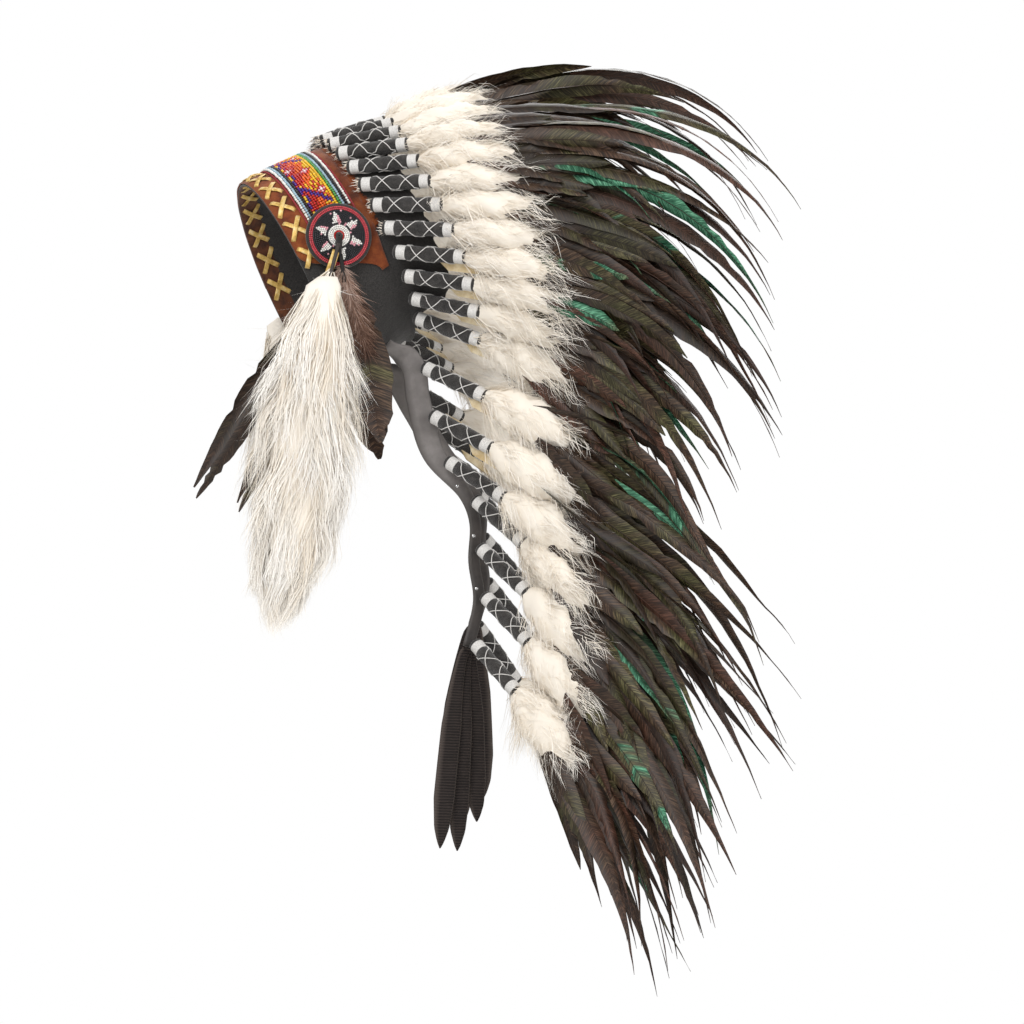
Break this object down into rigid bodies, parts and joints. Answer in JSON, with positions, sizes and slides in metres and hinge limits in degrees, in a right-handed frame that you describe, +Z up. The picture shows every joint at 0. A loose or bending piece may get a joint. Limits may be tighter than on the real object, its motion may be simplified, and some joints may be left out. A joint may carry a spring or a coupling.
{
  "type": "feathered headdress",
  "caption": "Feathered headdress as worn: beaded suede brow band, felt crown and trailers of wrapped quills with white fluff and dark plumes, fur drops at the temples.",
  "frame": {"origin": "the head seat: the middle of the rim that goes round the head", "axes": "+Z up as it hangs on a head that is tipped back 64 degrees, +X back to where the plumes sweep, -Y the wearer's left"},
  "size_m": [0.5646, 0.4826, 0.8094],
  "materials": {
    "black_felt": "felt",
    "rust_suede": "suede",
    "beadwork": "opaque seed beads",
    "gilt_lace": "gilt leather lace",
    "dark_leather": "matt",
    "white_fur": "long fur",
    "dark_feather": "rooster feather with a green sheen"
  },
  "bodies": {
    "root": {"crown_felt": "black_felt", "brow_suede": "rust_suede", "bead_strip": "beadwork", "rim_lacing": "gilt_lace", "rosette_left": "beadwork", "rosette_right": "beadwork", "trailer_left": "dark_leather", "trailer_right": "dark_leather", "lappet_front_left": "dark_leather", "lappet_front_right": "dark_leather", "lappet_middle_left": "dark_leather", "lappet_middle_right": "dark_leather", "lappet_rear_left": "dark_leather", "lappet_rear_right": "dark_leather", "side_fur_left": "white_fur", "side_fur_right": "white_fur", "side_feathers_left": "dark_feather", "side_feathers_right": "dark_feather", "feather_centre": "dark_feather", "feather_01_left": "dark_feather", "feather_01_right": "dark_feather", "feather_02_left": "dark_feather", "feather_02_right": "dark_feather", "feather_03_left": "dark_feather", "feather_03_right": "dark_feather", "feather_04_left": "dark_feather", "feather_04_right": "dark_feather", "feather_05_left": "dark_feather", "feather_05_right": "dark_feather", "feather_06_left": "dark_feather", "feather_06_right": "dark_feather", "feather_07_left": "dark_feather", "feather_07_right": "dark_feather", "feather_08_left": "dark_feather", "feather_08_right": "dark_feather", "feather_09_left": "dark_feather", "feather_09_right": "dark_feather", "feather_10_left": "dark_feather", "feather_10_right": "dark_feather", "feather_11_left": "dark_feather", "feather_11_right": "dark_feather", "feather_12_left": "dark_feather", "feather_12_right": "dark_feather", "feather_13_left": "dark_feather", "feather_13_right": "dark_feather", "feather_14_left": "dark_feather", "feather_14_right": "dark_feather", "feather_15_left": "dark_feather", "feather_15_right": "dark_feather", "feather_16_left": "dark_feather", "feather_16_right": "dark_feather", "feather_17_left": "dark_feather", "feather_17_right": "dark_feather", "feather_18_left": "dark_feather", "feather_18_right": "dark_feather"}
  },
  "joints": []
}
